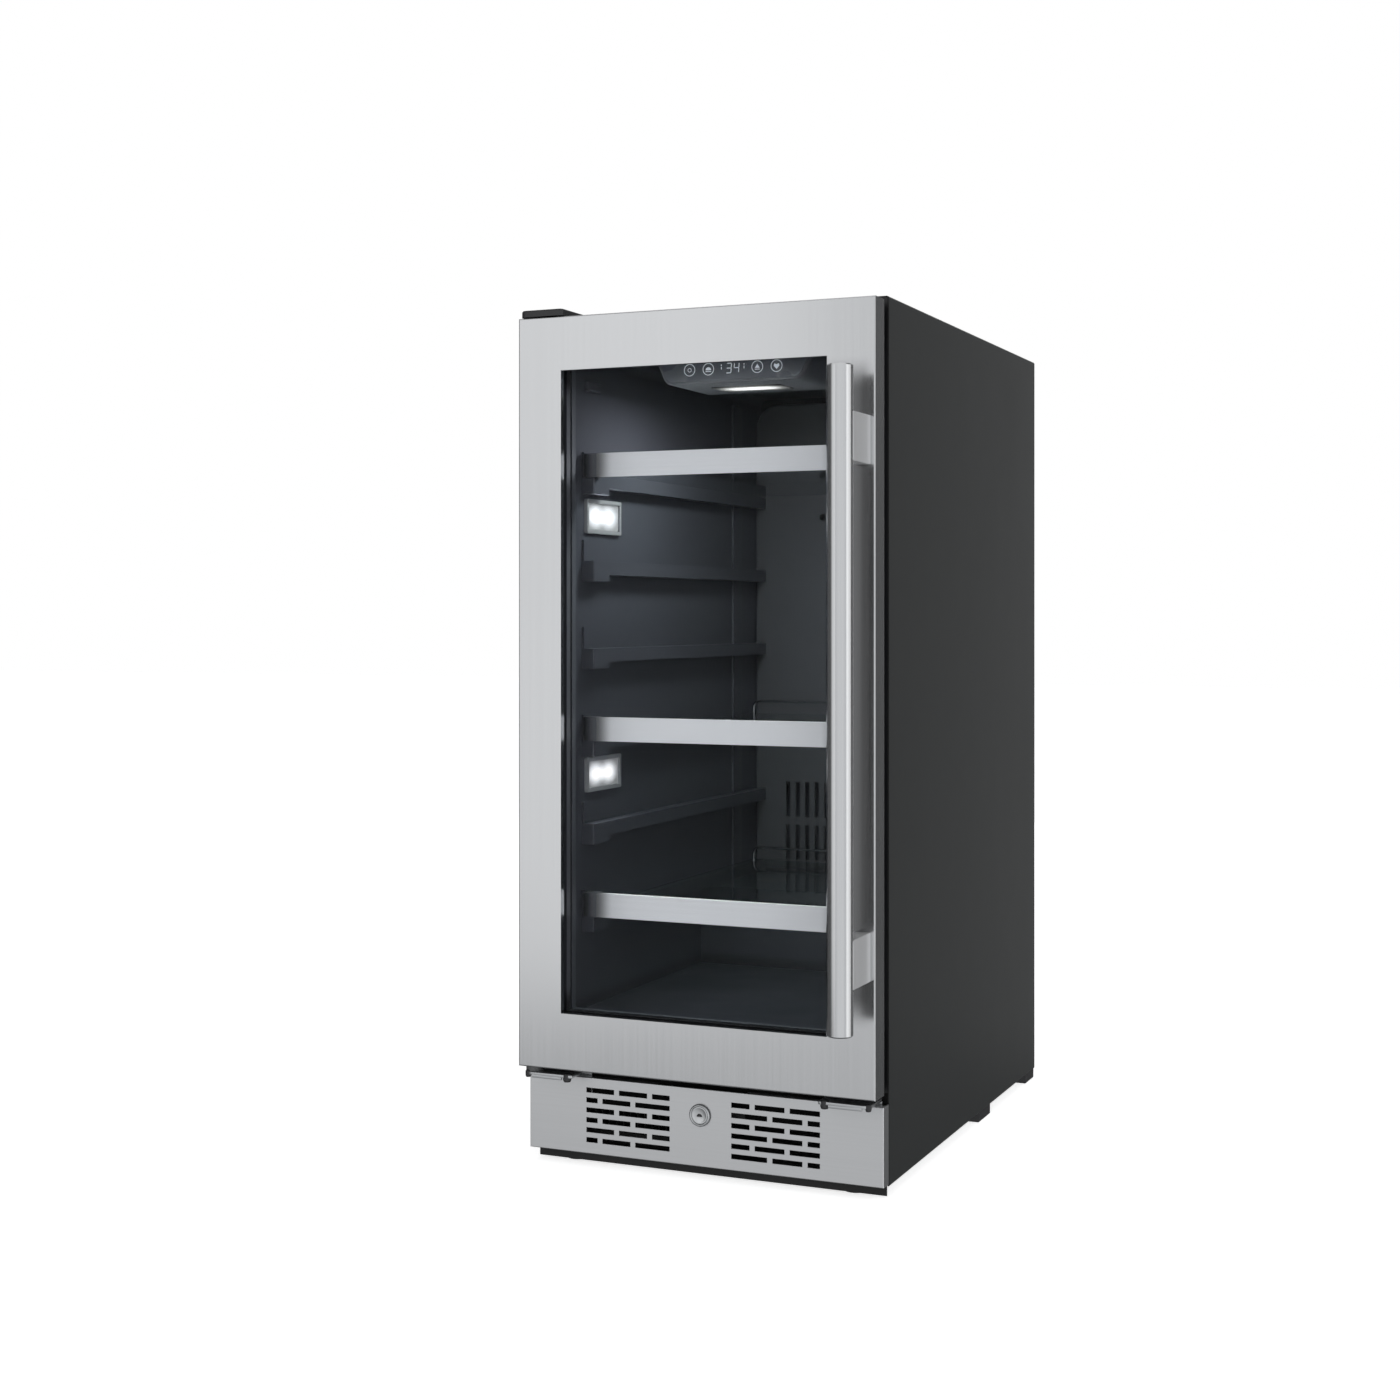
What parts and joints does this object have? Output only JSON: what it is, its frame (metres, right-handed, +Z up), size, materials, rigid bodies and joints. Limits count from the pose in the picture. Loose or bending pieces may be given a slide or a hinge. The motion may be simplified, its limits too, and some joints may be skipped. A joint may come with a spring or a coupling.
{
  "type": "undercounter refrigerator",
  "caption": "Narrow undercounter refrigerator with a hinged glass door, a tall bar handle, glass shelves, a locking kick plate and a lit interior.",
  "frame": {"origin": "on the floor, under the middle of the bounding box", "axes": "+X to the right seen from the front, +Y to the rear, +Z up; the door faces -Y"},
  "size_m": [0.378, 0.6554, 0.864],
  "materials": {
    "cabinet_paint": "satin",
    "bare_steel": "satin",
    "dark_steel": "satin",
    "brushed_steel": "satin",
    "chrome": "polished",
    "liner_plastic": "satin",
    "duct_plastic": "satin",
    "black_plastic": "satin",
    "foam": "matte",
    "door_glass": "polished",
    "shelf_glass": "polished",
    "spacer": "matte",
    "seal_rubber": "matte",
    "foot_rubber": "matte",
    "panel_glass": "gloss",
    "lamp_lens": "satin",
    "circuit_board": "satin",
    "fin_aluminium": "satin",
    "copper": "satin",
    "compressor_paint": "gloss",
    "bush_plastic": "matte",
    "fan_plastic": "satin"
  },
  "bodies": {
    "cabinet": {"air_duct_cover": "duct_plastic", "base_pan": "dark_steel", "ceiling_light_lens": "lamp_lens", "compressor": "compressor_paint", "compressor_cover": "bare_steel", "compressor_mounts": "foot_rubber", "condenser_coil": "fin_aluminium", "control_board": "circuit_board", "control_housing": "liner_plastic", "drain_pan": "black_plastic", "evaporator": "fin_aluminium", "fan_motors": "dark_steel", "foam_insulation": "foam", "front_rail": "dark_steel", "hinge_pins": "chrome", "hinge_screws": "chrome", "inner_liner": "liner_plastic", "kick_plate": "brushed_steel", "lock_housing": "chrome", "lower_hinge_brackets": "brushed_steel", "outer_shell": "cabinet_paint", "power_inlet": "black_plastic", "rear_glides": "black_plastic", "rear_panel": "bare_steel", "refrigerant_lines": "copper", "sensor_cap": "liner_plastic", "shelf_rails": "liner_plastic", "side_light_bezels": "chrome", "side_light_lenses": "lamp_lens", "touch_panel": "panel_glass", "upper_hinge_bracket": "bare_steel", "upper_hinge_cover": "black_plastic"},
    "door": {"door_frame": "brushed_steel", "door_core": "foam", "door_inner_frame": "black_plastic", "door_glass": "door_glass", "glass_spacer": "spacer", "door_gasket": "seal_rubber", "handle_tube": "brushed_steel", "handle_brackets": "brushed_steel", "door_bushes": "bush_plastic", "lock_strike": "bare_steel"},
    "shelf_1": {"shelf_1_glass": "shelf_glass", "shelf_1_trim": "brushed_steel", "shelf_1_end_caps": "black_plastic", "shelf_1_guard_wire": "chrome"},
    "shelf_2": {"shelf_2_glass": "shelf_glass", "shelf_2_trim": "brushed_steel", "shelf_2_end_caps": "black_plastic", "shelf_2_guard_wire": "chrome"},
    "shelf_3": {"shelf_3_glass": "shelf_glass", "shelf_3_trim": "brushed_steel", "shelf_3_end_caps": "black_plastic", "shelf_3_guard_wire": "chrome"},
    "evaporator_fan": {"evaporator_fan": "fan_plastic"},
    "condenser_fan": {"condenser_fan": "fan_plastic"},
    "lock": {"lock_cylinder": "chrome", "lock_cam": "bare_steel"},
    "left_foot": {"left_leveling_foot": "foot_rubber"},
    "right_foot": {"right_leveling_foot": "foot_rubber"}
  },
  "joints": [
    {"name": "door_hinge", "type": "hinge", "parent": "cabinet", "child": "door", "pos_m": [-0.177, -0.25225, 0.477], "axis": [0, 0, -1], "range_deg": [0, 112]},
    {"name": "shelf_1_slide", "type": "slide", "parent": "cabinet", "child": "shelf_1", "axis": [0, -1, 0], "range_m": [0, 0.02]},
    {"name": "shelf_2_slide", "type": "slide", "parent": "cabinet", "child": "shelf_2", "axis": [0, -1, 0], "range_m": [0, 0.02]},
    {"name": "shelf_3_slide", "type": "slide", "parent": "cabinet", "child": "shelf_3", "axis": [0, -1, 0], "range_m": [0, 0.02]},
    {"name": "lock_turn", "type": "hinge", "parent": "cabinet", "child": "lock", "pos_m": [0, -0.24065, 0.0644], "axis": [0, -1, 0], "range_deg": [0, 90]},
    {"name": "left_foot_screw", "type": "slide", "parent": "cabinet", "child": "left_foot", "axis": [0, 0, -1], "range_m": [0, 0.008]},
    {"name": "right_foot_screw", "type": "slide", "parent": "cabinet", "child": "right_foot", "axis": [0, 0, -1], "range_m": [0, 0.008]},
    {"name": "evaporator_fan_spin", "type": "hinge", "parent": "cabinet", "child": "evaporator_fan", "pos_m": [0, 0.28375, 0.62], "axis": [0, -1, 0], "continuous": true},
    {"name": "condenser_fan_spin", "type": "hinge", "parent": "cabinet", "child": "condenser_fan", "pos_m": [-0.092, -0.12725, 0.06], "axis": [0, -1, 0], "continuous": true}
  ]
}
